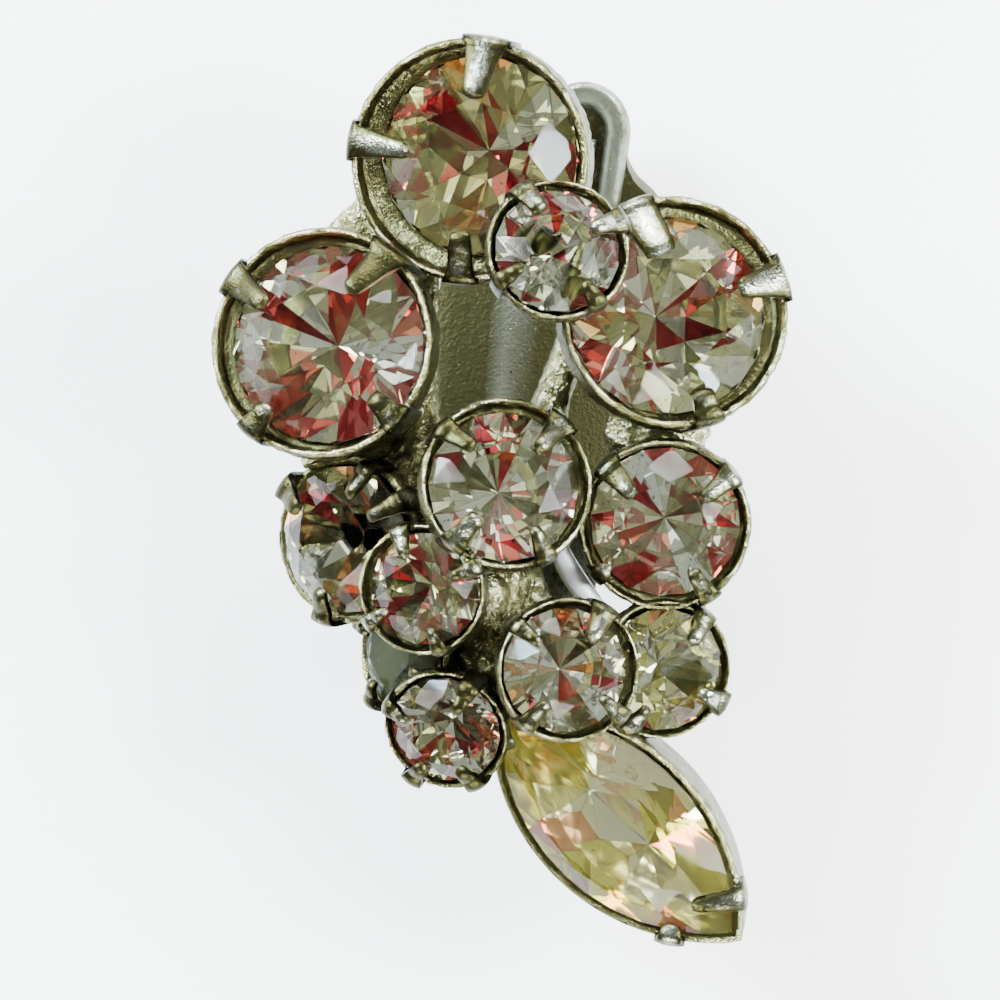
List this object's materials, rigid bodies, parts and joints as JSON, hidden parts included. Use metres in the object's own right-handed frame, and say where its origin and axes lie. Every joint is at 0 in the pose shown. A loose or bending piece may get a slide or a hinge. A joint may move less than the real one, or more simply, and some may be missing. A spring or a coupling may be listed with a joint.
{
  "type": "clip on earring",
  "caption": "Cluster earring of round cut stones and one long pointed stone in a soldered pronged setting, with a hinged clip that closes behind the ear lobe.",
  "frame": {"origin": "on the flat back of the closed clip's paddle, straight behind the middle of the cluster", "axes": "+Y towards the earring's top, +Z from the clip's back towards the viewer of the stones, +X to that viewer's right"},
  "size_m": [0.0246, 0.0385, 0.0154],
  "materials": {
    "aged_silver": "silver plate gone grey and olive with tarnish, rough where it is soldered, with bright worn edges",
    "clear_stone": "clear cut glass with a silvered foil back that gives back red, grey and white facets",
    "pale_yellow_stone": "pale yellow cut glass with a silvered foil back"
  },
  "bodies": {
    "paddle": {"clip_paddle": "aged_silver"},
    "cluster": {"setting": "aged_silver", "hinge_pin": "aged_silver", "stone_navette": "pale_yellow_stone", "stone_top": "clear_stone", "stone_left": "clear_stone", "stone_right": "clear_stone", "stone_centre": "clear_stone", "stone_mid_left": "clear_stone", "stone_mid_right": "clear_stone", "stone_bridge": "clear_stone", "stone_low_left": "clear_stone", "stone_low_mid": "clear_stone", "stone_low_right": "clear_stone", "stone_foot": "clear_stone", "stone_back_left": "clear_stone"}
  },
  "joints": [
    {"name": "clip_hinge", "type": "hinge", "parent": "paddle", "child": "cluster", "pos_m": [0.00096, -0.00551, 0.00435], "axis": [0.9925, -0.1219, 0], "range_deg": [0, 80]}
  ]
}
